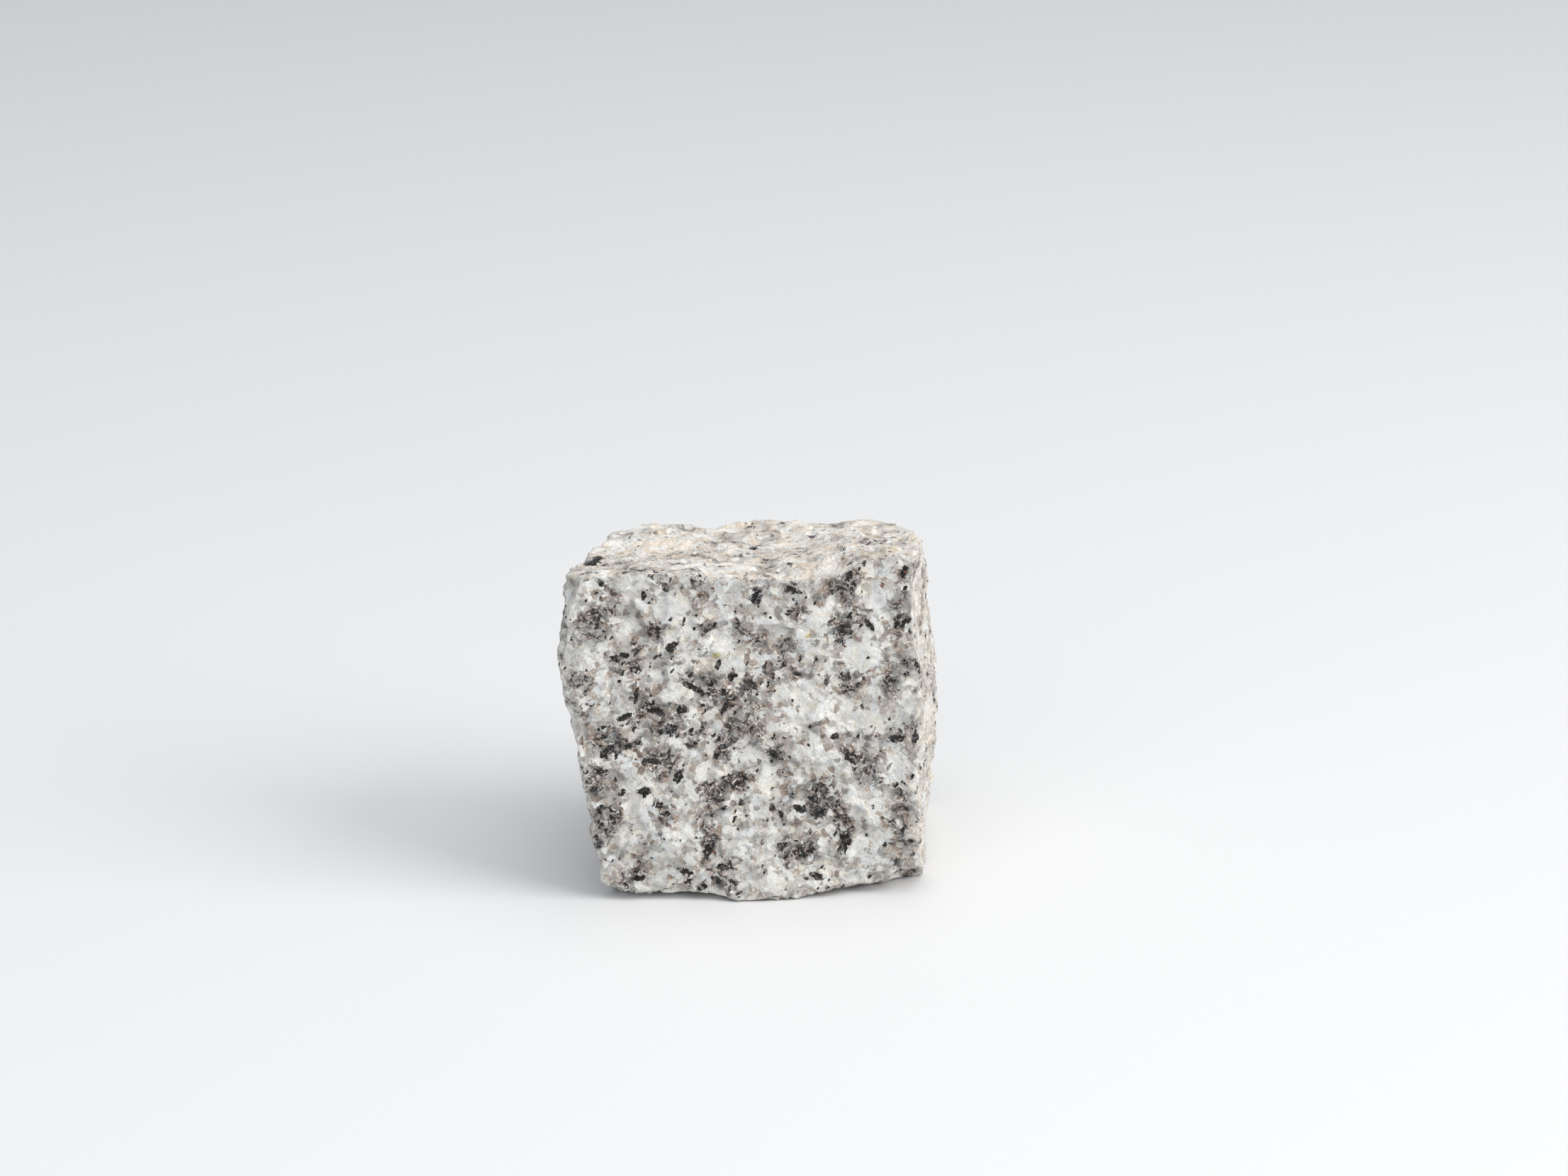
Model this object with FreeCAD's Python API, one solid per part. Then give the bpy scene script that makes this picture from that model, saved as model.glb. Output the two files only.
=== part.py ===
# A granite sett: a small paving block that was split with a hammer on every side.
# Millimetres. The sett stands on its bed with its front towards -Y, and +Z is up.
# The origin is on the bed, under the middle of the block.
import FreeCAD, Part
import math
import os
import random
from collections import namedtuple

Vector = FreeCAD.Vector

# Sizes between the middles of opposite sides
WIDTH = 58.0
DEPTH = 47.5
HEIGHT = 59.5

# Turn of each upright side about the vertical, in degrees: a positive turn brings its right-hand
# end forwards, as seen by someone who faces that side
FRONT_TURN = -3.5
RIGHT_TURN = 3.5
BACK_TURN = 3.0
LEFT_TURN = 6.0

# Lean of each upright side, in degrees: a positive lean brings its top edge forwards
FRONT_LEAN = 0.5
RIGHT_LEAN = -0.3
BACK_LEAN = -3.0
LEFT_LEAN = 5.8

# Slope of the head, in degrees: its rise towards the right and its fall towards the back
HEAD_RISE = 2.0
HEAD_FALL = 6.0

# A swell is a broad rise of a split side, or a hollow where its height is negative.
# Across and up are from the side's middle, and at the reach the swell has died down.
Swell = namedtuple("Swell", "across up reach height")
FRONT_SWELLS = [
    Swell(across=0, up=-28, reach=26, height=2.0),
    Swell(across=6, up=8, reach=26, height=-1.2),
]
RIGHT_SWELLS = [
    Swell(across=-4, up=2, reach=24, height=3.2),
    Swell(across=2, up=-22, reach=22, height=0.9),
]
BACK_SWELLS = [
    Swell(across=-10, up=8, reach=24, height=2.0),
    Swell(across=16, up=-12, reach=22, height=-1.5),
]
LEFT_SWELLS = [
    Swell(across=16, up=4, reach=32, height=3.4),
    Swell(across=20, up=14, reach=14, height=2.2),
    Swell(across=-12, up=-10, reach=22, height=1.5),
]
HEAD_SWELLS = [
    Swell(across=24, up=-20, reach=26, height=3.6),
    Swell(across=-24, up=-24, reach=16, height=1.8),
    Swell(across=-4, up=2, reach=22, height=-1.0),
]

# The ripple of the split sides: its length from crest to crest, its height, and the angle in
# degrees by which its heading turns from one side to the next
RIPPLE_LENGTH = 23.0
RIPPLE_HEIGHT = 0.5
RIPPLE_TURN = 57.0

# The flat facets that a split side breaks into: their size, how far their corners stand out or
# in, and how far the corners stray along the side
FACET_SIZE = 4.5
FACET_HEIGHT = 0.6
FACET_STRAY = 1.1

# A flake is a shell-shaped scar where a chip of stone sprang off an arris or a corner, mainly
# from the first of its sides. Along is from the middle of the arris towards the right, the back
# or the top, radius is the curve of the scar and bite is its depth at the arris.
Flake = namedtuple("Flake", "sides along radius bite")
FLAKES = [
    Flake(sides=("bed", "front"), along=23, radius=50, bite=1.8),
    Flake(sides=("bed", "front"), along=-18, radius=70, bite=1.5),
    Flake(sides=("bed", "front", "right"), along=0, radius=18, bite=4.4),
    Flake(sides=("bed", "front", "left"), along=0, radius=46, bite=2.4),
    Flake(sides=("left", "front"), along=4, radius=9, bite=1.8),
    Flake(sides=("head", "front"), along=3, radius=50, bite=1.2),
    Flake(sides=("front", "head"), along=22, radius=36, bite=1.2),
    Flake(sides=("head", "front", "right"), along=0, radius=15, bite=2.4),
    Flake(sides=("left", "head", "front"), along=0, radius=24, bite=2.8),
    Flake(sides=("left", "head"), along=16, radius=28, bite=1.5),
    Flake(sides=("right", "head"), along=8, radius=40, bite=2.4),
    Flake(sides=("head", "back", "right"), along=0, radius=28, bite=3.8),
    Flake(sides=("back", "head", "left"), along=0, radius=26, bite=4.8),
    Flake(sides=("bed", "back"), along=10, radius=40, bite=2.2),
    Flake(sides=("back", "right"), along=-8, radius=32, bite=2.2),
]
# How much more a flake faces the first of its sides than the others
FLAKE_LEAD = 3.0

Side = namedtuple("Side", "name middle across up out turn lean swells ripple")
RIGHTWARDS = Vector(1, 0, 0)
BACKWARDS = Vector(0, 1, 0)
UPWARDS = Vector(0, 0, 1)
CENTRE = UPWARDS * (HEIGHT / 2)
SIDES = {
    "front": Side("front", CENTRE - BACKWARDS * (DEPTH / 2), RIGHTWARDS, UPWARDS, -BACKWARDS,
                  FRONT_TURN, FRONT_LEAN, FRONT_SWELLS, RIPPLE_TURN),
    "right": Side("right", CENTRE + RIGHTWARDS * (WIDTH / 2), BACKWARDS, UPWARDS, RIGHTWARDS,
                  RIGHT_TURN, RIGHT_LEAN, RIGHT_SWELLS, 2 * RIPPLE_TURN),
    "back": Side("back", CENTRE + BACKWARDS * (DEPTH / 2), -RIGHTWARDS, UPWARDS, BACKWARDS,
                 BACK_TURN, BACK_LEAN, BACK_SWELLS, 3 * RIPPLE_TURN),
    "left": Side("left", CENTRE - RIGHTWARDS * (WIDTH / 2), -BACKWARDS, UPWARDS, -RIGHTWARDS,
                 LEFT_TURN, LEFT_LEAN, LEFT_SWELLS, 4 * RIPPLE_TURN),
    "head": Side("head", UPWARDS * HEIGHT, RIGHTWARDS, BACKWARDS, UPWARDS,
                 HEAD_RISE, -HEAD_FALL, HEAD_SWELLS, 5 * RIPPLE_TURN),
}
BED = Side("bed", Vector(0, 0, 0), RIGHTWARDS, -BACKWARDS, -UPWARDS, 0, 0, [], None)

# The stone before it is split reaches this far from the centre
STONE = 0.7 * max(WIDTH, DEPTH, HEIGHT)


def ripple(across, up, heading):
    """The height of a split side's ripple, which runs in three directions at once."""
    height = 0
    for wave in range(3):
        angle = math.radians(heading + 60 * wave)
        way = across * math.cos(angle) + up * math.sin(angle)
        height += math.sin(math.tau * way / RIPPLE_LENGTH + math.radians(heading * (wave + 1)))
    return RIPPLE_HEIGHT * height / 2


def relief(side, across, up):
    """How far a side stands out from the square plane through its middle."""
    height = across * math.tan(math.radians(side.turn)) + up * math.tan(math.radians(side.lean))
    for swell in side.swells:
        distance = math.hypot(across - swell.across, up - swell.up)
        height += swell.height * math.exp(-((1.5 * distance / swell.reach) ** 2))
    if side.ripple is not None:
        height += ripple(across, up, side.ripple)
    return height


def chance(*key):
    """A number from -1 to 1 that follows no pattern, and is always the same for the same key."""
    return random.Random(str(key)).uniform(-1, 1)


def facet_corner(side, column, row):
    """A corner of a side's facets, counted from the side's middle."""
    across = column * FACET_SIZE + FACET_STRAY * chance(side.name, column, row, "across")
    up = row * FACET_SIZE + FACET_STRAY * chance(side.name, column, row, "up")
    height = relief(side, across, up) + FACET_HEIGHT * chance(side.name, column, row, "height")
    return side.middle + side.across * across + side.up * up + side.out * height


def facet(*corners):
    return Part.Face(Part.makePolygon([*corners, corners[0]]))


def split_surface(side):
    """A side as it was split, out past the edges of the stone."""
    reach = math.ceil(STONE / FACET_SIZE) + 1
    facets = []
    for column in range(-reach, reach):
        for row in range(-reach, reach):
            square = [(column, row), (column + 1, row), (column + 1, row + 1), (column, row + 1)]
            if chance(side.name, column, row, "crease") > 0:
                square = square[1:] + square[:1]
            a, b, c, d = [facet_corner(side, *place) for place in square]
            facets += [facet(a, b, c), facet(a, c, d)]
    surface = Part.makeShell(facets)
    surface.sewShape()
    return surface


def meeting(start, sides):
    """The point nearest to a start where sides meet, found by stepping onto each in turn."""
    point = start
    for _ in range(20):
        for side in sides:
            arm = point - side.middle
            gap = arm.dot(side.out) - relief(side, arm.dot(side.across), arm.dot(side.up))
            point = point - side.out * gap
    return point


def scar(flake):
    """The ball whose surface is a flake's scar."""
    sides = [SIDES.get(name, BED) for name in flake.sides]
    facing = sides[0].out * FLAKE_LEAD
    for side in sides[1:]:
        facing = facing + side.out
    facing.normalize()
    line = sides[0].out.cross(sides[1].out)
    forwards = sum(line)
    start = CENTRE + line * (forwards * flake.along)
    return Part.makeSphere(flake.radius, meeting(start, sides) + facing * (flake.radius - flake.bite))


def main():
    stone = Part.makeBox(2 * STONE, 2 * STONE, HEIGHT / 2 + STONE, Vector(-STONE, -STONE, 0))
    for side in SIDES.values():
        pieces = stone.generalFuse([split_surface(side)])[0].Solids
        stone = max(pieces, key=lambda piece: piece.isInside(CENTRE, 0, True))
    for flake in FLAKES:
        stone = stone.cut(scar(flake))
    sett = max(stone.Solids, key=lambda solid: solid.Volume)
    middle = sett.optimalBoundingBox().Center
    sett.translate(Vector(-middle.x, -middle.y, 0))
    os.makedirs("parts", exist_ok=True)
    sett.exportStep("parts/granite_sett.step")


main()
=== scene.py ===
import math
from collections import namedtuple
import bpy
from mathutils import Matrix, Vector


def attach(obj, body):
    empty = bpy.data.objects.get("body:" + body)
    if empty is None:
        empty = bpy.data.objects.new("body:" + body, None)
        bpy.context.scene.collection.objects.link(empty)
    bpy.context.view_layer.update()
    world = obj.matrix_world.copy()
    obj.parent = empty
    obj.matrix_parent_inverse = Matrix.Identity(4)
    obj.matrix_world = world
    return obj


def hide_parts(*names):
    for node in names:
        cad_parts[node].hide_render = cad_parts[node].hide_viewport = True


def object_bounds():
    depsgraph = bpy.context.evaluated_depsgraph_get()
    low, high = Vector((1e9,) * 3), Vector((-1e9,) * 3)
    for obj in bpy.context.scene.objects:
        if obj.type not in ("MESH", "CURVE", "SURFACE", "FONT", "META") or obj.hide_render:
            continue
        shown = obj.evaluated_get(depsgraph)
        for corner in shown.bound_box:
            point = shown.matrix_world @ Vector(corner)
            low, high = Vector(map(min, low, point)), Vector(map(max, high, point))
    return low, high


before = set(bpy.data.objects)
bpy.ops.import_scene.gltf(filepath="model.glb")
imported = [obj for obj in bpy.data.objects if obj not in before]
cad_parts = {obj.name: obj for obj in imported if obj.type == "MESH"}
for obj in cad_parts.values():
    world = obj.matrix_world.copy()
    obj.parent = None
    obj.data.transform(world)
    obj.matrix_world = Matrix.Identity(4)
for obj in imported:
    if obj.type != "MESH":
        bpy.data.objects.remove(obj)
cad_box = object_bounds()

from types import SimpleNamespace

import bpy
import numpy as np
from mathutils import Vector

# Lengths inside the stone are in millimetres, and the scene is in metres.
MM = 0.001

# Camera: its place in the row frame, its dip below the level, its sensor and its lens
CAMERA_PLACE = Vector((6.2, -957.9, 372.5)) * MM
CAMERA_DIP = math.radians(18.53)
CAMERA_SENSOR = 36.0
CAMERA_LENS = 126.5

# The studio in metres and watts: lamps that aim at the stone's middle, a sky, and a floor just
# below the bed
Lamp = namedtuple("Lamp", "name place size power colour")
LAMPS = [
    Lamp("key", (1.25, -0.55, 0.9), 1.1, 17.9, (1.0, 0.965, 0.91)),
    Lamp("overhead", (0.15, -0.15, 1.4), 1.5, 12.2, (1.0, 0.98, 0.95)),
    Lamp("fill", (-0.45, -1.1, 0.6), 0.9, 2.7, (0.97, 0.985, 1.0)),
]
LAMP_TARGET = (0, 0, 0.03)
SKY_COLOUR = (0.89, 0.945, 1.0, 1.0)
SKY_STRENGTH = 0.345
BACKGROUND_COLOUR = (1.0, 1.0, 1.0, 1.0)
FLOOR_REACH = 4.0
FLOOR_DROP = 0.1 * MM
FLOOR_COLOUR = (0.81, 0.82, 0.84, 1.0)
FLOOR_ROUGHNESS = 0.7

# The skin: the size of its squares, how often it is smoothed, how much its broken points are worn
# down, and the depth that its roughness takes off
SKIN_SQUARE = 0.54
SKIN_SMOOTH = 2
SKIN_WEAR = 0.3
SKIN_INSET = 0.2

# Arrises: how far a point stands out from its neighbours on a sharp one, as a share of a square,
# and the number of steps by which its bruises spread
ARRIS_BEND = 0.05
ARRIS_SPREAD = 4

# Which points take the marks of the front and of the head, by the least part of a normal that
# looks that way, and the weather and painted light on the right side as a share of the head's
FRONT_FACING = 0.5
HEAD_FACING = 0.6
RIGHT_WEATHER_AND_LIGHT = 0.74

# The sheet of texture coordinates: its charts across and up, and how far a side reaches from the
# middle of its chart, as a share of the chart
SHEET = (3, 2)
CHART_REACH = 0.47

# The middle of a noise and of a cell's chances, which go from 0 to 1
MIDDLE = 0.5

# Noises that vary the stone: the size of their waves, how many finer waves lie on those, and how
# strong the finer ones are
Noise = namedtuple("Noise", "size detail roughness")
WANDER = Noise(2.4, 2.0, 0.5)
TEAR = Noise(0.45, 2.0, 0.5)
RAGGED = Noise(1.0, 3.0, 0.7)
ZONE = Noise(6.0, 3.0, 0.6)
HACKLE = Noise(3.0, 3.0, 0.5)
MILK = Noise(3.4, 3.0, 0.55)
TINT = Noise(2.6, 2.0, 0.5)
SPECKLE = Noise(0.3, 3.0, 0.7)

# How far the grains are pushed about by wandering and by tearing, and the share of the tearing
# that grit follows
WANDER_REACH = 1.8
TEAR_REACH = 0.4
GRIT_TEAR = 0.3

# Broken grains: their size, how far they stand out or in by chance, and how steeply they slope
Grain = namedtuple("Grain", "size rise tilt")
CRYSTAL = Grain(4.4, 0.3, 0.26)
BEAD = Grain(1.15, 0.2, 0.3)
GRIT = Grain(0.38, 0.2, 0.7)

# Heights of the other relief, how much the bump repeats of the broken grains, and its strength
HACKLE_HEIGHT = 0.7
RAGGED_HEIGHT = 0.5
MICA_DEPTH = 0.12
SPECKLE_HEIGHT = 0.28
SHARPENING = 1.4
BUMP = 0.85

# Zones where dark minerals crowd, which dark and pale marks shift, and the core of a zone. In this
# and what follows, a span is where a mask begins and where it is full.
DARK_SPAN = (-0.6, 0.5)
DARK_PULL = 0.13
PALE_SPAN = (-0.4, 0.3)
PALE_PULL = -0.2
CORE_SPAN = (0.46, 0.74)

# Two kinds of flakes of mica: the direction of their length, the size of the cells that may hold
# one, and the share of the cells that do
Flakes = namedtuple("Flakes", "along size share")
FLAKES = [Flakes((0.4, 0.3, 0.85), 0.75, 0.055), Flakes((0.85, -0.4, -0.3), 1.425, 0.025)]

# All flakes: the part of the length that is squeezed out before the cells are laid, which makes
# them long, how much the flakes vary in size, how gradually cells are chosen, the flakes' edges,
# how much larger their share is in the cores, and how much grit frays them
FLAKE_SQUEEZE = 0.55
FLAKE_VARIETY = 0.3
FLAKE_CHOICE = 0.03
FLAKE_SPAN = (0.66, 0.5)
FLAKE_CROWDING = 0.28
FLAKE_FRAY = 0.4

# Patches of mica where it is marked, with ragged edges, and specks of mica or rust: how far apart
# they are, their edges, and which chances make a speck and a rusty one
PATCH_RAGGED = 2.2
PATCH_SPAN = (-0.04, 0.1)
SPECK_SPACING = 2.2
SPECK_SPAN = (0.17, 0.09)
SPECK_CHOICE = (0.55, 0.57)
RUST_CHOICE = (0.8, 0.82)

# Feldspar: how much each pattern brightens it, and where it is greyed by a zone, cool or creamy
SHADE = SimpleNamespace(
    base=0.39, milk=1.5, crystal=0.75, bead=0.19, grit=0.14, speckle=0.7, pale=0.25, zone=-0.3)
GREY_SPAN = (0.36, 0.62)
COOL_SPAN = (0.46, 0.58)
CREAM_SPAN = (0.52, 0.64)

# Darker grains: how much each pattern helps them to show, how much it brightens them, and how
# strongly they cover the feldspar
PRESENCE = SimpleNamespace(bead=0.33, grit=0.09, ragged=0.18, span=(0.635, 0.735))
TONE = SimpleNamespace(base=0.56, disc=-0.16, rim=-0.2, bead=0.3, core=-0.42)
COVER = SimpleNamespace(base=0.38, chance=0.55, core=0.4)

# Beads with a darker disc and rim: the chances that make one, the edges by the distance from its
# middle, and how rims fade in the cores
RIMMED_SPAN = (0.35, 0.4)
DISC_SPAN = (0.56, 0.44)
RIM_INNER_SPAN = (0.36, 0.46)
RIM_OUTER_SPAN = (0.58, 0.48)
RIM_CORE_SPAN = (0.1, 0.6)

# Pepper in the grains: its share of speckle, and its contrast from the edge of a zone to its core
PEPPER_SPECKLE = 0.8
PEPPER_SPAN = (0.15, 0.9)
PEPPER_CONTRAST = (0.36, 1.05)

# Brown beads: the factor that makes a second chance of a bead's first, the chances that make it
# brown, and how brown it stays in a core
SECOND_CHANCE = 7.0
BROWN_SPAN = (0.35, 0.75)
BROWN_CORE_SPAN = (0.2, 0.9)
BROWN_IN_CORE = 0.5

# Wear and painted light: painted shade in the pits, bruises on the arrises, and on the top and the
# right side weather and painted light, which brighten, dust and tan them
PIT_SHADE_SPAN = (-0.4, 0.1)
PIT_PAINTED_SHADE = 0.36
BRUISE_SPAN = (-0.16, 0.10)
BRUISE_STRENGTH = 0.75
WEATHER_AND_LIGHT_SPAN = (0.45, 0.9)
PAINTED_LIGHT_GAMMA = 0.62
DUST_AND_LIGHT_SPAN = (-0.14, 0.14)
DUST_AND_LIGHT_THICKNESS = (0.06, 0.62)
DUST_AND_LIGHT_OVER_MICA = 0.85
TAN_SPAN = (0.47, 0.6)

# Ochre stains where they are marked, which are fainter where the weather and painted light are
STAIN_RAGGED = 1.2
STAIN_SPAN = (-0.1, 0.5)
STAIN_STRENGTH = 0.95
STAIN_WEATHER_AND_LIGHT_SPAN = (0.5, 0.9)
STAIN_IN_WEATHER_AND_LIGHT = 0.3

# Gloss: the grit's roughness from its glossiest to its dullest, by chance, and the specular level
GLOSS_SPAN = (0.0, 0.6)
GLOSS_ROUGHNESS = (0.22, 0.65)
SPECULAR = 0.27

# Colours of the minerals from their dark to their bright parts, as stops of a ramp
FELDSPAR = [
    (0.0, (0.45, 0.445, 0.425)),
    (0.35, (0.66, 0.648, 0.62)),
    (0.65, (0.845, 0.835, 0.805)),
    (1.0, (0.955, 0.945, 0.91)),
]
GRAINS = [
    (0.0, (0.012, 0.012, 0.012)),
    (0.2, (0.049, 0.048, 0.05)),
    (0.4, (0.17, 0.16, 0.158)),
    (0.6, (0.335, 0.28, 0.25)),
    (0.78, (0.52, 0.46, 0.42)),
    (1.0, (0.93, 0.91, 0.88)),
]
# The brightest stops of the mica are painted glints
MICA_AND_GLINTS = [
    (0.0, (0.007, 0.006, 0.006)),
    (0.5, (0.024, 0.021, 0.02)),
    (0.8, (0.062, 0.057, 0.056)),
    (1.0, (0.26, 0.25, 0.25)),
]

# Colours that tint the minerals or lie on them
COOL_TINT = (0.935, 0.965, 1.0)
CREAM_TINT = (1.0, 0.965, 0.895)
BROWN_TINT = (1.0, 0.89, 0.81)
TAN_TINT = (0.955, 0.885, 0.815)
OCHRE_TINT = (0.76, 0.67, 0.34)
# The pits' tint is painted shade
PIT_SHADE_TINT = (0.40, 0.37, 0.35)
BRUISE = (0.88, 0.86, 0.81)
# Dust, partly painted light on the top and the right side
DUST_AND_LIGHT = (0.97, 0.925, 0.86)
SPECK = (0.024, 0.021, 0.02)
RUST = (0.20, 0.085, 0.045)

# Marks that give the front and the head their look: the middle across and up the face, half the
# length, half the width, and the turn of the length up from level in degrees.
# Up the head is towards the back.
Mark = namedtuple("Mark", "across up length width turn")
FRONT_MARKS = {
    "mica": [
        Mark(1.2, 57.8, 1.6, 1.1, 70), Mark(-26.3, 60.6, 0.8, 0.6, 0), Mark(-14.0, 48.6, 1.2, 0.8, 40),
        Mark(-22.3, 47.2, 1.0, 0.6, 20), Mark(-24.2, 46.4, 1.1, 0.5, -30), Mark(27.6, 52.2, 2.3, 0.6, 20),
        Mark(21.5, 52.0, 1.5, 0.6, -55), Mark(-3.3, 42.4, 1.4, 0.6, 80), Mark(-9.5, 40.2, 3.2, 0.55, -35),
        Mark(-17.0, 36.3, 1.7, 0.8, -10), Mark(-22.2, 35.4, 1.6, 0.6, 15), Mark(-4.6, 36.3, 1.6, 0.6, 60),
        Mark(-14.2, 32.5, 1.3, 1.0, 50), Mark(-25.7, 28.5, 1.7, 0.8, 35), Mark(-22.0, 29.5, 0.9, 0.6, 20),
        Mark(4.2, 27.4, 1.5, 0.9, -50), Mark(26.6, 29.9, 1.4, 0.8, 10), Mark(30.0, 30.2, 1.4, 0.7, 80),
        Mark(-12.9, 23.7, 1.4, 0.7, 70), Mark(-19.0, 21.0, 1.4, 0.9, 0), Mark(12.3, 16.2, 1.3, 1.0, 30),
        Mark(9.0, 17.0, 1.3, 0.7, -20), Mark(17.3, 10.0, 1.6, 0.9, 75), Mark(-7.4, 9.6, 1.6, 0.8, 60),
        Mark(6.0, 10.6, 1.3, 0.5, 0), Mark(-8.7, 2.4, 1.2, 0.7, 0), Mark(27.7, 62.0, 1.2, 0.6, 75),
        Mark(-20.4, 38.9, 1.6, 0.5, 85), Mark(-20.3, 4.2, 1.3, 0.6, 0), Mark(15.4, 30.7, 0.8, 0.5, 30),
    ],
    "dark": [
        Mark(1.5, 37.5, 3.4, 2.4, -60), Mark(-3.0, 31.5, 5.5, 2.2, 55), Mark(6.2, 47.8, 2.6, 1.8, 0),
        Mark(-15.5, 34.5, 6.0, 3.2, 20), Mark(-18.5, 28.0, 6.0, 1.8, -15), Mark(16.5, 11.0, 3.6, 2.2, 70),
        Mark(12.3, 18.0, 3.2, 2.0, 80), Mark(27.0, 17.0, 5.0, 1.7, 85), Mark(-6.6, 14.5, 6.5, 1.6, 80),
        Mark(28.0, 51.0, 3.6, 2.4, 20), Mark(17.0, 59.5, 3.0, 2.2, 40), Mark(4.5, 15.8, 3.0, 1.8, 20),
        Mark(-29.0, 53.0, 3.2, 2.2, 60), Mark(-5.0, 40.5, 5.0, 1.6, -25), Mark(7.5, 8.5, 2.4, 1.6, 0),
    ],
    "pale": [
        Mark(2.6, 21.5, 3.2, 2.4, 60), Mark(21.0, 17.5, 3.4, 2.6, 30), Mark(11.5, 35.4, 3.4, 1.9, 25),
        Mark(8.0, 39.5, 3.0, 1.6, 15), Mark(21.0, 33.0, 3.0, 2.2, 0), Mark(-15.0, 43.4, 3.0, 1.2, 20),
        Mark(-5.6, 49.0, 2.4, 2.4, 0), Mark(22.0, 57.4, 2.8, 2.2, 0), Mark(12.0, 53.0, 4.0, 1.2, 45),
        Mark(-14.0, 55.5, 3.0, 2.2, 40), Mark(20.0, 45.5, 3.2, 2.4, 0), Mark(26.0, 25.0, 2.8, 2.0, 40),
        Mark(-1.2, 12.0, 1.8, 1.6, 0), Mark(3.5, 3.4, 3.2, 1.4, 0), Mark(-13.0, 13.0, 2.6, 2.2, 30),
    ],
    "ochre": [Mark(-5.8, 46.5, 1.0, 0.8, 20), Mark(10.6, 50.0, 0.8, 0.6, 50)],
}
HEAD_MARKS = {
    "mica": [
        Mark(-28.7, -9.2, 2.8, 1.6, 90), Mark(-27.8, -6.8, 1.8, 1.1, 70), Mark(-5.4, -16.6, 1.0, 0.5, 70),
        Mark(7.2, -17.8, 1.3, 0.5, 100), Mark(0.5, 3.4, 1.8, 0.6, 110), Mark(21.3, -9.0, 1.2, 0.4, 60),
    ],
    "dark": [
        Mark(-5.0, 9.5, 4.5, 2.5, 60), Mark(24.0, 1.0, 4.5, 3.0, 0), Mark(27.0, 8.5, 2.5, 2.0, 0),
        Mark(-7.0, -2.0, 6.0, 3.0, 20), Mark(-16.0, -6.0, 4.0, 2.4, 0), Mark(27.0, -10.0, 4.0, 1.6, 90),
        Mark(-24.0, -14.0, 3.0, 2.0, 0), Mark(-21.5, -23.0, 3.0, 1.6, 0), Mark(10.0, -13.0, 5.0, 2.0, 20),
    ],
    "pale": [
        Mark(-19.0, 8.0, 8.0, 5.0, 0), Mark(10.0, 16.0, 4.0, 5.0, 0), Mark(6.0, 3.0, 3.6, 2.6, 0),
        Mark(-1.0, -18.0, 3.0, 2.4, 0), Mark(21.0, -15.0, 3.6, 2.2, 20), Mark(-12.0, -13.0, 3.4, 2.4, 0),
    ],
    "ochre": [Mark(24.5, -20.0, 3.2, 2.2, 30), Mark(-23.5, 0.5, 1.6, 1.0, 0)],
}


class Nodes:
    """Adds nodes to a shader or geometry tree. An input is a value or the socket that feeds it."""

    def __init__(self, tree):
        self.tree = tree

    def add(self, kind, inputs=None, **settings):
        node = self.tree.nodes.new(kind)
        for name, value in settings.items():
            setattr(node, name, value)
        for key, value in (inputs or {}).items():
            if isinstance(value, bpy.types.NodeSocket):
                self.tree.links.new(value, node.inputs[key])
            else:
                node.inputs[key].default_value = value
        return node

    def math(self, operation, first, second=0.0):
        return self.add("ShaderNodeMath", {0: first, 1: second}, operation=operation).outputs[0]

    def times(self, first, second):
        return self.math("MULTIPLY", first, second)

    def plus(self, *parts):
        """The sum of parts, each a value, a socket, or a socket with a factor."""
        total = 0.0
        for part in parts:
            value = self.times(*part) if isinstance(part, tuple) else part
            total = self.math("ADD", value, total)
        return total

    def vector(self, operation, first, second):
        node = self.add("ShaderNodeVectorMath", {0: first, 1: second}, operation=operation)
        return node.outputs["Value" if operation == "DOT_PRODUCT" else "Vector"]

    def scale(self, vector, factor):
        inputs = {0: vector, "Scale": factor}
        return self.add("ShaderNodeVectorMath", inputs, operation="SCALE").outputs["Vector"]

    def split(self, vector):
        return self.add("ShaderNodeSeparateXYZ", {0: vector}).outputs

    def noise(self, place, kind):
        inputs = {
            "Vector": place,
            "Scale": 1 / kind.size,
            "Detail": kind.detail,
            "Roughness": kind.roughness,
        }
        return self.add("ShaderNodeTexNoise", inputs).outputs

    def wave(self, place, kind):
        """A noise that swings about zero."""
        return self.math("SUBTRACT", self.noise(place, kind)["Fac"], MIDDLE)

    def cells(self, place, size):
        return self.add("ShaderNodeTexVoronoi", {"Vector": place, "Scale": 1 / size}).outputs

    def swing(self, colour):
        """The three values of a noise's or a cell's colour, moved to swing about zero."""
        return self.vector("SUBTRACT", colour, (MIDDLE, MIDDLE, MIDDLE))

    def ease(self, value, low, high, start=0.0, end=1.0):
        inputs = {"Value": value, "From Min": low, "From Max": high, "To Min": start, "To Max": end}
        return self.add("ShaderNodeMapRange", inputs, interpolation_type="SMOOTHSTEP").outputs[0]

    def blend(self, first, second, amount, way="MIX"):
        """One colour laid over another, each a socket or three values."""
        inputs = {"Factor": amount}
        for name, colour in (("A", first), ("B", second)):
            inputs[name] = (*colour, 1.0) if isinstance(colour, tuple) else colour
        return self.add("ShaderNodeMix", inputs, data_type="RGBA", blend_type=way).outputs["Result"]

    def ramp(self, value, stops):
        node = self.add("ShaderNodeValToRGB", {0: value})
        elements = node.color_ramp.elements
        while len(elements) < len(stops):
            elements.new(0.5)
        for element, (position, colour) in zip(elements, stops):
            element.position = position
            element.color = (*colour, 1.0)
        return node.outputs[0]


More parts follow.
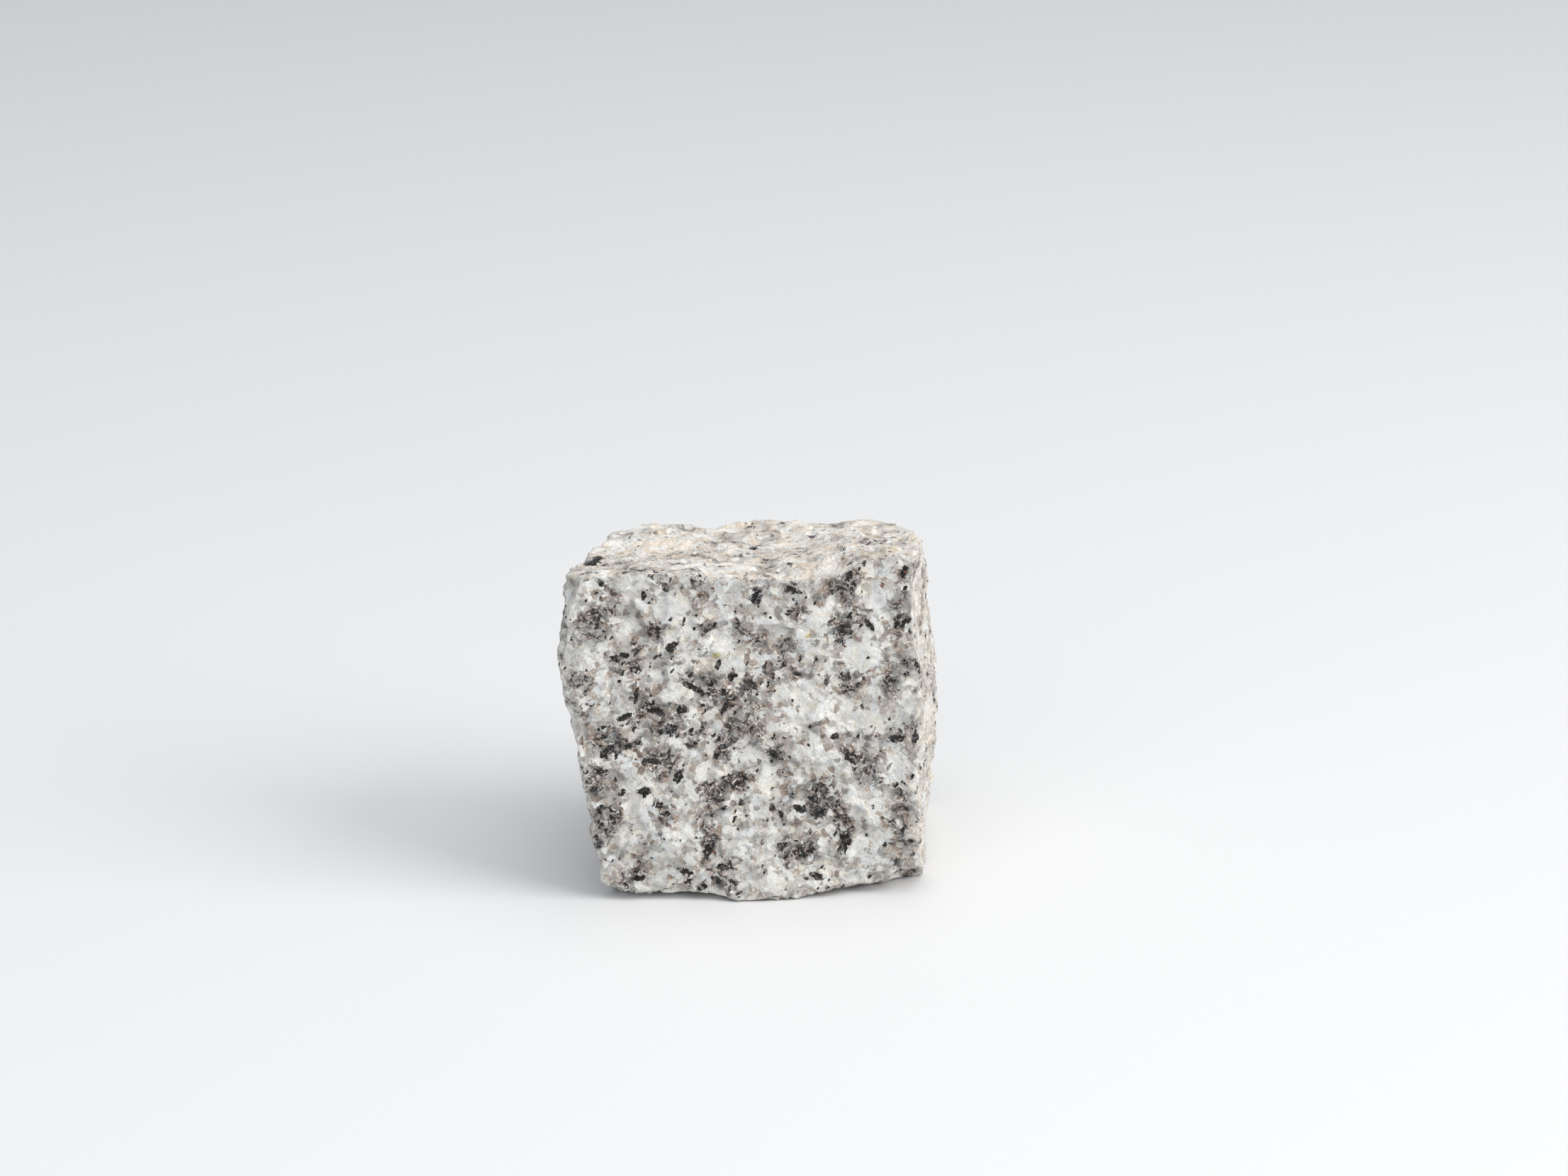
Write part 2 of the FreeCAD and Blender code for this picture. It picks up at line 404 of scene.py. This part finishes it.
class ShaderNodes(Nodes):
    """Nodes of a material."""

    def kept(self, name):
        """A value that the skin keeps at its points."""
        node = self.add("ShaderNodeAttribute", attribute_name=name)
        return node.outputs["Vector" if name == "place" else "Fac"]


class GeometryNodes(Nodes):
    """Nodes that shape a mesh."""

    def kept(self, name):
        """A value that the skin keeps at its points."""
        kind = "FLOAT_VECTOR" if name == "place" else "FLOAT"
        return self.add("GeometryNodeInputNamedAttribute", {"Name": name}, data_type=kind).outputs[0]


def warp(nodes, place, noise, reach):
    """A shift that follows a noise."""
    return nodes.scale(nodes.swing(nodes.noise(place, noise)["Color"]), reach)


def facets(nodes, place, cells, grain):
    """The height of broken grains: each stands out by chance and slopes its own way."""
    chance = nodes.swing(cells["Color"])
    arm = nodes.vector("SUBTRACT", place, cells["Position"])
    slope = nodes.vector("DOT_PRODUCT", chance, arm)
    return nodes.plus((slope, grain.tilt), (nodes.split(chance)[0], grain.rise))


def flakes(nodes, place, kind, crowding, fray):
    """A mask of frayed flakes, long in one direction and more frequent where they crowd."""
    axis = tuple(Vector(kind.along).normalized())
    pull = nodes.times(nodes.vector("DOT_PRODUCT", place, axis), FLAKE_SQUEEZE)
    cells = nodes.cells(nodes.vector("SUBTRACT", place, nodes.scale(axis, pull)), kind.size)
    chance = nodes.split(cells["Color"])
    least = 1.0 - kind.share
    chosen = nodes.ease(nodes.plus(chance[1], crowding), least, least + FLAKE_CHOICE)
    outline = nodes.plus(cells["Distance"], (chance[0], FLAKE_VARIETY), fray)
    return nodes.times(chosen, nodes.ease(outline, *FLAKE_SPAN))


def granite(nodes):
    """The patterns that the granite's relief and its colours share."""
    place = nodes.kept("place")
    soft = nodes.vector("ADD", place, warp(nodes, place, WANDER, WANDER_REACH))
    tear = warp(nodes, place, TEAR, TEAR_REACH)
    torn = nodes.vector("ADD", soft, tear)
    gritty = nodes.vector("ADD", soft, nodes.scale(tear, GRIT_TEAR))
    ragged = nodes.wave(place, RAGGED)
    crystals = nodes.cells(torn, CRYSTAL.size)
    beads = nodes.cells(torn, BEAD.size)
    grit = nodes.cells(gritty, GRIT.size)
    by_bead, by_grit = nodes.split(beads["Color"]), nodes.split(grit["Color"])

    dark = nodes.ease(nodes.plus(nodes.kept("dark"), ragged), *DARK_SPAN)
    pale = nodes.ease(nodes.plus(nodes.kept("pale"), ragged), *PALE_SPAN)
    zone = nodes.plus(nodes.noise(soft, ZONE)["Fac"], (dark, DARK_PULL), (pale, PALE_PULL))
    core = nodes.ease(zone, *CORE_SPAN)

    crowding = nodes.times(core, FLAKE_CROWDING)
    fray = nodes.plus((by_grit[0], FLAKE_FRAY), -FLAKE_FRAY / 2)
    small, large = [flakes(nodes, torn, kind, crowding, fray) for kind in FLAKES]
    flecks = nodes.math("MAXIMUM", small, large)
    patches = nodes.ease(nodes.plus(nodes.kept("mica"), (ragged, PATCH_RAGGED), fray), *PATCH_SPAN)
    broken = nodes.plus(
        facets(nodes, torn, crystals, CRYSTAL),
        facets(nodes, torn, beads, BEAD),
        (ragged, RAGGED_HEIGHT))
    return SimpleNamespace(
        place=place, soft=soft, torn=torn, gritty=gritty, ragged=ragged, crystals=crystals, beads=beads,
        grit=grit, by_bead=by_bead, by_grit=by_grit, pale=pale, zone=zone, core=core, flecks=flecks,
        patches=patches, broken=broken)


def roughen(piece):
    """Breaks the skin's surface: hackle, crystals, beads and the pits that mica leaves."""
    tree = bpy.data.node_groups.new("split surface", "GeometryNodeTree")
    tree.interface.new_socket("Geometry", in_out="INPUT", socket_type="NodeSocketGeometry")
    tree.interface.new_socket("Geometry", in_out="OUTPUT", socket_type="NodeSocketGeometry")
    nodes = GeometryNodes(tree)
    start = nodes.add("NodeGroupInput")
    stone = granite(nodes)
    hackle = nodes.wave(stone.place, HACKLE)
    mica = nodes.math("MAXIMUM", stone.flecks, stone.patches)
    height = nodes.plus((hackle, HACKLE_HEIGHT), stone.broken, (mica, -MICA_DEPTH), -SKIN_INSET)
    normal = nodes.add("GeometryNodeInputNormal").outputs[0]
    move = nodes.scale(normal, nodes.times(height, MM))
    shift = nodes.add("GeometryNodeSetPosition", {"Geometry": start.outputs[0], "Offset": move})
    end = nodes.add("NodeGroupOutput")
    tree.links.new(shift.outputs[0], end.inputs[0])
    piece.modifiers.new("split surface", "NODES").node_group = tree
    worn = piece.modifiers.new("worn points", "SMOOTH")
    worn.factor = SKIN_WEAR


def apply_modifiers(piece):
    bpy.context.view_layer.update()
    evaluated = piece.evaluated_get(bpy.context.evaluated_depsgraph_get())
    mesh = bpy.data.meshes.new_from_object(evaluated)
    piece.modifiers.clear()
    piece.data = mesh


def points_of(mesh):
    points = np.empty(len(mesh.vertices) * 3)
    mesh.vertices.foreach_get("co", points)
    return points.reshape(-1, 3)


def normals_of(mesh):
    normals = np.empty(len(mesh.vertices) * 3)
    mesh.vertex_normals.foreach_get("vector", normals)
    return normals.reshape(-1, 3)


def neighbour_mean(mesh, values):
    """The mean of a value, or of a vector, over each point's neighbours."""
    edges = np.empty(len(mesh.edges) * 2, np.int32)
    mesh.edges.foreach_get("vertices", edges)
    first, second = edges.reshape(-1, 2).T
    total = np.zeros_like(values)
    np.add.at(total, first, values[second])
    np.add.at(total, second, values[first])
    count = np.bincount(edges, minlength=len(values))
    return total / count.reshape(-1, *[1] * (values.ndim - 1))


def face_field(across, up, marks):
    """How deep a point is inside a face's marks: 1 in a middle, 0 at an edge and -1 well outside."""
    field = np.full(len(across), -1.0)
    for mark in marks:
        turn = math.radians(mark.turn)
        right, rise = across - mark.across, up - mark.up
        along = (right * math.cos(turn) + rise * math.sin(turn)) / mark.length
        aside = (rise * math.cos(turn) - right * math.sin(turn)) / mark.width
        field = np.maximum(field, 1 - np.hypot(along, aside))
    return field


def mark_field(points, normals, front_marks, head_marks):
    """The field of the front's marks on what looks forwards, and of the head's on what looks up."""
    front = face_field(points[:, 0], points[:, 2], front_marks)
    head = face_field(points[:, 0], points[:, 1], head_marks)
    on_front = np.where(normals[:, 1] < -FRONT_FACING, front, -1.0)
    return np.where(normals[:, 2] > HEAD_FACING, head, on_front)


def arris_field(mesh, points, normals):
    """How sharply the skin turns outwards at a point, spread over a little width."""
    bend = ((points - neighbour_mean(mesh, points)) * normals).sum(1)
    field = np.clip(bend / (ARRIS_BEND * SKIN_SQUARE), 0, 1)
    for _ in range(ARRIS_SPREAD):
        field = (field + neighbour_mean(mesh, field)) / 2
    return field


def keep(mesh, name, values):
    kind = "FLOAT_VECTOR" if values.ndim == 2 else "FLOAT"
    layer = mesh.attributes.new(name, kind, "POINT")
    layer.data.foreach_set("vector" if values.ndim == 2 else "value", values.astype(np.float32).ravel())


def mark_out(piece):
    """Keeps at each point of the skin what its relief and its material look up."""
    mesh = piece.data
    points, normals = points_of(mesh) / MM, normals_of(mesh)
    keep(mesh, "place", points)
    for name in FRONT_MARKS:
        keep(mesh, name, mark_field(points, normals, FRONT_MARKS[name], HEAD_MARKS[name]))
    keep(mesh, "arris", arris_field(mesh, points, normals))
    # Weather and painted light: partly weathering, partly light painted on what looks up or to the right
    keep(mesh, "weather", np.maximum(normals[:, 2], RIGHT_WEATHER_AND_LIGHT * normals[:, 0]))


def keep_in_box(piece):
    """No point of the skin leaves the CAD model's box."""
    points = np.clip(points_of(piece.data), np.array(cad_box[0]), np.array(cad_box[1]))
    piece.data.vertices.foreach_set("co", points.ravel())
    piece.data.update()


def unwrap(piece):
    """Lays out six charts on one sheet, one for each side of the CAD model's box."""
    mesh = piece.data
    low, high = np.array(cad_box[0]), np.array(cad_box[1])
    local = (points_of(mesh) - (low + high) / 2) / ((high - low) / 2)
    count = len(mesh.loops)
    corner = np.empty(count, np.int32)
    mesh.loops.foreach_get("vertex_index", corner)
    totals = np.empty(len(mesh.polygons), np.int32)
    mesh.polygons.foreach_get("loop_total", totals)
    face = np.repeat(np.arange(len(totals)), totals)
    middle = np.zeros((len(totals), 3))
    np.add.at(middle, face, local[corner])
    axis = np.abs(middle).argmax(1)
    side = axis * 2 + (middle[np.arange(len(axis)), axis] > 0)
    axis, side = axis[face], side[face]
    place = local[corner]
    rows = np.arange(count)
    depth = np.abs(place[rows, axis])
    # The axes that run across and up a side depend on the axis that it faces.
    across = np.array([1, 0, 0])[axis]
    up = np.array([2, 2, 1])[axis]
    flat = np.stack([place[rows, across] / depth, place[rows, up] / depth], axis=1)
    chart = np.stack([side % SHEET[0], side // SHEET[0]], axis=1)
    sheet = (chart + 0.5 + flat * CHART_REACH) / np.array(SHEET)
    layer = mesh.uv_layers.new(name="OFBake")
    layer.data.foreach_set("uv", sheet.astype(np.float32).ravel())


def feldspar(nodes, stone):
    """The colour of the pale crystals: milky, greyer in zones, and cool or creamy in places."""
    by_crystal = nodes.split(stone.crystals["Color"])
    shade = nodes.plus(
        (stone.milk, SHADE.milk),
        (by_crystal[2], SHADE.crystal),
        (stone.by_bead[1], SHADE.bead),
        (stone.by_grit[2], SHADE.grit),
        (stone.speckle, SHADE.speckle),
        (stone.pale, SHADE.pale),
        (nodes.ease(stone.zone, *GREY_SPAN), SHADE.zone),
        SHADE.base)
    colour = nodes.ramp(shade, FELDSPAR)
    colour = nodes.blend(colour, COOL_TINT, nodes.ease(stone.cool, *COOL_SPAN), "MULTIPLY")
    return nodes.blend(colour, CREAM_TINT, nodes.ease(stone.warm, *CREAM_SPAN), "MULTIPLY")


def grain_tone(nodes, stone):
    """How bright the darker grains are: discs, rims, and pepper that grows towards a zone's core."""
    distance = stone.beads["Distance"]
    rimmed = nodes.ease(stone.by_bead[0], *RIMMED_SPAN)
    disc = nodes.times(rimmed, nodes.ease(distance, *DISC_SPAN))
    rim = nodes.times(nodes.ease(distance, *RIM_INNER_SPAN), nodes.ease(distance, *RIM_OUTER_SPAN))
    rim = nodes.times(nodes.times(rimmed, rim), nodes.ease(stone.core, *RIM_CORE_SPAN, 1.0, 0.0))
    pepper = nodes.plus(stone.by_grit[0], (stone.speckle, PEPPER_SPECKLE), -MIDDLE)
    contrast = nodes.ease(stone.core, *PEPPER_SPAN, *PEPPER_CONTRAST)
    return nodes.plus(
        (disc, TONE.disc),
        (rim, TONE.rim),
        (stone.by_bead[1], TONE.bead),
        (stone.core, TONE.core),
        nodes.times(pepper, contrast),
        TONE.base)


def with_grains(nodes, stone, colour):
    """Adds the darker grains, some brown and some grey, which crowd in the zones."""
    presence = nodes.plus(
        stone.zone,
        (stone.by_bead[2], PRESENCE.bead),
        (stone.by_grit[1], PRESENCE.grit),
        (stone.ragged, PRESENCE.ragged))
    chance = nodes.math("FRACT", nodes.times(stone.by_bead[1], SECOND_CHANCE))
    cover = nodes.plus((chance, COVER.chance), (stone.core, COVER.core), COVER.base)
    cover = nodes.times(nodes.ease(presence, *PRESENCE.span), nodes.math("MINIMUM", cover, 1.0))
    in_core = nodes.ease(stone.core, *BROWN_CORE_SPAN, 1.0, BROWN_IN_CORE)
    brown = nodes.times(nodes.ease(chance, *BROWN_SPAN), in_core)
    grains = nodes.ramp(grain_tone(nodes, stone), GRAINS)
    grains = nodes.blend(grains, BROWN_TINT, brown, "MULTIPLY")
    return nodes.blend(colour, grains, cover)


def with_wear_and_painted_light(nodes, stone, colour):
    """Adds painted shade in pits, bruises on arrises, and weather with painted light on the top and
    right.
    """
    # Painted shade: the pits are darkened as if shade falls in them
    pit_shade = nodes.ease(stone.broken, *PIT_SHADE_SPAN, PIT_PAINTED_SHADE, 0.0)
    colour = nodes.blend(colour, PIT_SHADE_TINT, pit_shade, "MULTIPLY")
    bruise = nodes.times(nodes.kept("arris"), nodes.ease(stone.ragged, *BRUISE_SPAN))
    colour = nodes.blend(colour, BRUISE, nodes.times(bruise, BRUISE_STRENGTH))
    # Painted light: the top and the right side are brightened as if lit more strongly
    painted_light = nodes.add("ShaderNodeGamma", {"Color": colour, "Gamma": PAINTED_LIGHT_GAMMA}).outputs[0]
    colour = nodes.blend(colour, painted_light, stone.weather)
    # Dust, partly painted light that pales the top and the right side
    colour = nodes.blend(colour, DUST_AND_LIGHT, stone.dust)
    tan = nodes.times(stone.weather, nodes.ease(stone.warm, *TAN_SPAN))
    return nodes.blend(colour, TAN_TINT, tan, "MULTIPLY")


def with_stains(nodes, stone, colour):
    """Adds the ochre stains."""
    stain = nodes.plus(nodes.kept("ochre"), (stone.ragged, STAIN_RAGGED))
    stain = nodes.ease(stain, *STAIN_SPAN, 0.0, STAIN_STRENGTH)
    left = nodes.ease(nodes.kept("weather"), *STAIN_WEATHER_AND_LIGHT_SPAN, 1.0, STAIN_IN_WEATHER_AND_LIGHT)
    return nodes.blend(colour, OCHRE_TINT, nodes.times(stain, left), "MULTIPLY")


def with_mica(nodes, stone, colour):
    """Adds flakes, patches and specks of mica, some rusty. Dust and painted light hide all but patches.
    """
    clear_of_dust_and_light = nodes.plus((stone.dust, -DUST_AND_LIGHT_OVER_MICA), 1.0)
    mica = nodes.math("MAXIMUM", nodes.times(stone.flecks, clear_of_dust_and_light), stone.patches)
    # The brightest mica is painted glints
    colour = nodes.blend(colour, nodes.ramp(nodes.plus(stone.by_grit[1], stone.speckle), MICA_AND_GLINTS), mica)
    specks = nodes.cells(stone.torn, SPECK_SPACING)
    chance = nodes.split(specks["Color"])
    dot = nodes.times(nodes.ease(specks["Distance"], *SPECK_SPAN), nodes.ease(chance[0], *SPECK_CHOICE))
    speck = nodes.blend(SPECK, RUST, nodes.ease(chance[1], *RUST_CHOICE))
    return nodes.blend(colour, speck, nodes.times(dot, clear_of_dust_and_light))


def fine_bump(nodes, stone):
    """The relief of grit and speckle, with the broken grains once more to sharpen them."""
    height = nodes.plus(
        facets(nodes, stone.gritty, stone.grit, GRIT),
        (stone.speckle, SPECKLE_HEIGHT),
        (stone.broken, SHARPENING))
    return nodes.add("ShaderNodeBump", {"Height": height, "Distance": MM, "Strength": BUMP}).outputs[0]


def granite_material():
    material = bpy.data.materials.new("granite")
    material.use_nodes = True
    tree = material.node_tree
    tree.nodes.clear()
    nodes = ShaderNodes(tree)
    stone = granite(nodes)
    stone.speckle = nodes.wave(stone.place, SPECKLE)
    stone.milk = nodes.wave(stone.soft, MILK)
    stone.cool, stone.warm, _ = nodes.split(nodes.noise(stone.torn, TINT)["Color"])
    # Weather and painted light on what looks up or to the right; dust and painted light follow it
    stone.weather = nodes.ease(nodes.kept("weather"), *WEATHER_AND_LIGHT_SPAN)
    stone.dust = nodes.times(stone.weather, nodes.ease(stone.milk, *DUST_AND_LIGHT_SPAN, *DUST_AND_LIGHT_THICKNESS))

    colour = feldspar(nodes, stone)
    for layer in (with_grains, with_wear_and_painted_light, with_stains, with_mica):
        colour = layer(nodes, stone, colour)
    surface = nodes.add("ShaderNodeBsdfPrincipled", {
        "Base Color": colour,
        "Roughness": nodes.ease(stone.by_grit[2], *GLOSS_SPAN, *GLOSS_ROUGHNESS),
        "Normal": fine_bump(nodes, stone),
        "Specular IOR Level": SPECULAR,
    })
    output = nodes.add("ShaderNodeOutputMaterial")
    tree.links.new(surface.outputs[0], output.inputs[0])
    return material


def make_sett():
    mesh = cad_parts["granite_sett"].data.copy()
    mesh.materials.clear()
    piece = bpy.data.objects.new("split_granite", mesh)
    bpy.context.scene.collection.objects.link(piece)
    skin = piece.modifiers.new("skin", "REMESH")
    skin.mode = "VOXEL"
    skin.voxel_size = SKIN_SQUARE * MM
    smooth = piece.modifiers.new("smooth", "SMOOTH")
    smooth.iterations = SKIN_SMOOTH
    apply_modifiers(piece)
    mark_out(piece)
    roughen(piece)
    apply_modifiers(piece)
    keep_in_box(piece)
    unwrap(piece)
    piece.data.shade_smooth()
    piece.data.materials.append(granite_material())
    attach(piece, "root")
    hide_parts("granite_sett")


def floor_material():
    material = bpy.data.materials.new("floor")
    material.use_nodes = True
    surface = material.node_tree.nodes["Principled BSDF"]
    surface.inputs["Base Color"].default_value = FLOOR_COLOUR
    surface.inputs["Roughness"].default_value = FLOOR_ROUGHNESS
    return material


def make_floor():
    mesh = bpy.data.meshes.new("floor")
    corners = [(x * FLOOR_REACH, y * FLOOR_REACH, 0) for x, y in ((-1, -1), (1, -1), (1, 1), (-1, 1))]
    mesh.from_pydata(corners, [], [(0, 1, 2, 3)])
    mesh.materials.append(floor_material())
    floor = bpy.data.objects.new("floor", mesh)
    floor.location.z = -FLOOR_DROP
    bpy.context.scene.collection.objects.link(floor)


def make_lamp(lamp):
    light = bpy.data.lights.new(lamp.name, "AREA")
    light.shape = "SQUARE"
    light.size = lamp.size
    light.energy = lamp.power
    light.color = lamp.colour
    holder = bpy.data.objects.new(lamp.name, light)
    holder.location = lamp.place
    aim = Vector(LAMP_TARGET) - Vector(lamp.place)
    holder.rotation_euler = aim.to_track_quat("-Z", "Y").to_euler()
    bpy.context.scene.collection.objects.link(holder)


def make_sky():
    """A soft sky that lights the stone, and a white background that only the camera sees."""
    world = bpy.data.worlds.new("studio")
    bpy.context.scene.world = world
    world.use_nodes = True
    tree = world.node_tree
    tree.nodes.clear()
    nodes = Nodes(tree)
    sky = nodes.add("ShaderNodeBackground", {"Color": SKY_COLOUR, "Strength": SKY_STRENGTH})
    white = nodes.add("ShaderNodeBackground", {"Color": BACKGROUND_COLOUR})
    seen = nodes.add("ShaderNodeLightPath").outputs["Is Camera Ray"]
    mix = nodes.add("ShaderNodeMixShader", {0: seen, 1: sky.outputs[0], 2: white.outputs[0]})
    output = nodes.add("ShaderNodeOutputWorld")
    tree.links.new(mix.outputs[0], output.inputs[0])


def make_camera():
    data = bpy.data.cameras.new("camera")
    data.sensor_width = CAMERA_SENSOR
    data.lens = CAMERA_LENS
    camera = bpy.data.objects.new("camera", data)
    camera.location = CAMERA_PLACE
    camera.rotation_euler = (math.pi / 2 - CAMERA_DIP, 0, 0)
    bpy.context.scene.collection.objects.link(camera)
    bpy.context.scene.camera = camera


make_sett()
make_floor()
for lamp in LAMPS:
    make_lamp(lamp)
make_sky()
make_camera()
bpy.context.scene.view_settings.view_transform = "Standard"
